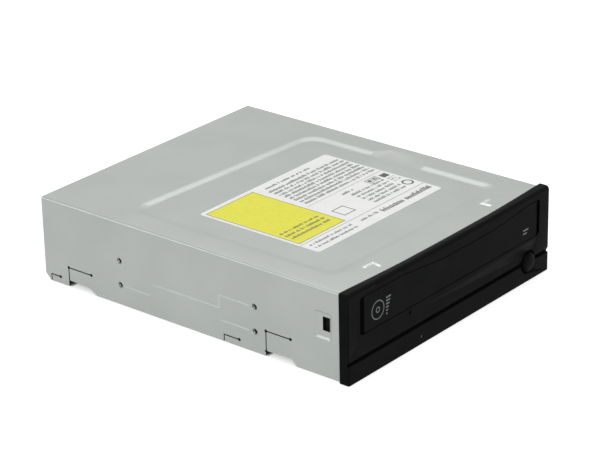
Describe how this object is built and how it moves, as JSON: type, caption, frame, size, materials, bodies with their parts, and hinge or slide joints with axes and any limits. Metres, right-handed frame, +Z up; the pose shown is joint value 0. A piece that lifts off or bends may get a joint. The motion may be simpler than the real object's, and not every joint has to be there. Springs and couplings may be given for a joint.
{
  "type": "internal optical disc drive",
  "caption": "Half-height internal disc writer: folded steel housing, black bezel with tray door, groove and round eject button, and a working loader and laser traverse inside.",
  "frame": {"origin": "centre of the four threaded holes in the underside, on the underside", "axes": "+X to the right seen from the front, +Y back towards the sockets, +Z up"},
  "size_m": [0.1482, 0.1803, 0.0421],
  "materials": {
    "zinc_steel": "dull zinc coat",
    "black_plastic": "fine grain",
    "frame_plastic": "plain moulding",
    "tray_plastic": "plain moulding",
    "light_lens": "smoked clear",
    "white_plastic": "natural gear plastic",
    "pulley_brass": "turned",
    "rubber": "matt",
    "bright_steel": "ground",
    "sheet_steel": "plated",
    "motor_can": "plated",
    "turntable_metal": "turned",
    "die_cast": "as cast",
    "holder_plastic": "plain moulding",
    "lens_glass": "coated",
    "board": "lacquered board",
    "chip_plastic": "moulded",
    "socket_black": "moulded",
    "socket_white": "moulded",
    "pin_metal": "plated",
    "label_paper": "coated"
  },
  "bodies": {
    "housing": {"top_cover": "zinc_steel", "bottom_cover": "zinc_steel", "bezel": "black_plastic", "indicator_light": "light_lens", "front_board": "board", "eject_switch": "chip_plastic", "main_frame": "frame_plastic", "loading_motor": "motor_can", "drive_belt": "rubber", "clamper_bridge": "sheet_steel", "main_board": "board", "board_chips": "chip_plastic", "data_header": "socket_black", "data_pins": "pin_metal", "power_header": "socket_white", "power_pins": "pin_metal", "audio_header": "socket_black", "jumper_block": "socket_black", "bottom_screws": "bright_steel", "board_screws": "bright_steel", "bridge_screws": "bright_steel", "top_label": "label_paper"},
    "tray": {"tray": "tray_plastic", "tray_door": "black_plastic"},
    "button": {"eject_button": "black_plastic"},
    "traverse": {"lift_frame": "frame_plastic", "traverse_chassis": "sheet_steel", "dampers": "rubber", "damper_screws": "bright_steel", "spindle_motor": "motor_can", "guide_rods": "bright_steel", "rod_holders": "sheet_steel", "feed_motor": "motor_can"},
    "turntable": {"turntable": "turntable_metal", "turntable_mat": "rubber"},
    "lead_screw": {"lead_screw": "bright_steel"},
    "pickup": {"pickup_body": "die_cast", "lens_holder": "holder_plastic", "objective_lens": "lens_glass"},
    "clamper": {"clamper": "frame_plastic", "clamper_plate": "bright_steel"},
    "cam_slider": {"cam_slider": "frame_plastic"},
    "motor_pulley": {"motor_pulley": "pulley_brass"},
    "pulley_gear": {"pulley_gear": "white_plastic"},
    "drive_gear": {"drive_gear": "white_plastic"}
  },
  "joints": [
    {"name": "tray_slide", "type": "slide", "parent": "housing", "child": "tray", "axis": [0, -1, 0], "range_m": [0, 0.14]},
    {"name": "drive_gear_spin", "type": "hinge", "parent": "housing", "child": "drive_gear", "pos_m": [-0.038, -0.06903, 0.022], "axis": [0, 0, 1], "continuous": true},
    {"name": "pulley_gear_spin", "type": "hinge", "parent": "housing", "child": "pulley_gear", "pos_m": [-0.019, -0.06903, 0.02], "axis": [0, 0, 1], "continuous": true},
    {"name": "motor_pulley_spin", "type": "hinge", "parent": "housing", "child": "motor_pulley", "pos_m": [0.008, -0.06903, 0.019], "axis": [0, 0, 1], "continuous": true},
    {"name": "eject_press", "type": "slide", "parent": "housing", "child": "button", "axis": [0, 1, 0], "range_m": [0, 0.0008], "stiffness_N_per_m": 600, "springref_m": -0.0005},
    {"name": "traverse_lift", "type": "hinge", "parent": "housing", "child": "traverse", "pos_m": [0, 0.07097, 0.016], "axis": [-1, 0, 0], "range_deg": [0, 4]},
    {"name": "cam_travel", "type": "slide", "parent": "housing", "child": "cam_slider", "axis": [1, 0, 0], "range_m": [0, 0.016]},
    {"name": "turntable_spin", "type": "hinge", "parent": "traverse", "child": "turntable", "pos_m": [0, -0.01537, 0.01798], "axis": [0, -0.0698, 0.9976], "continuous": true},
    {"name": "clamper_spin", "type": "hinge", "parent": "housing", "child": "clamper", "pos_m": [0, -0.01503, 0.034], "axis": [0, 0, 1], "continuous": true},
    {"name": "pickup_travel", "type": "slide", "parent": "traverse", "child": "pickup", "axis": [0, 0.9976, 0.0698], "range_m": [0, 0.033]},
    {"name": "lead_screw_spin", "type": "hinge", "parent": "traverse", "child": "lead_screw", "pos_m": [0.0325, 0.0228, 0.01684], "axis": [0, 0.9976, 0.0698], "continuous": true}
  ],
  "couplings": [
    {"joint": "drive_gear_spin", "follows": "tray_slide", "rad_per_m": 125},
    {"joint": "pulley_gear_spin", "follows": "tray_slide", "rad_per_m": -270.83},
    {"joint": "motor_pulley_spin", "follows": "tray_slide", "rad_per_m": -941.47},
    {"joint": "cam_travel", "follows": "traverse_lift", "m_per_rad": 0.22918},
    {"joint": "lead_screw_spin", "follows": "pickup_travel", "rad_per_m": -2094.4}
  ]
}
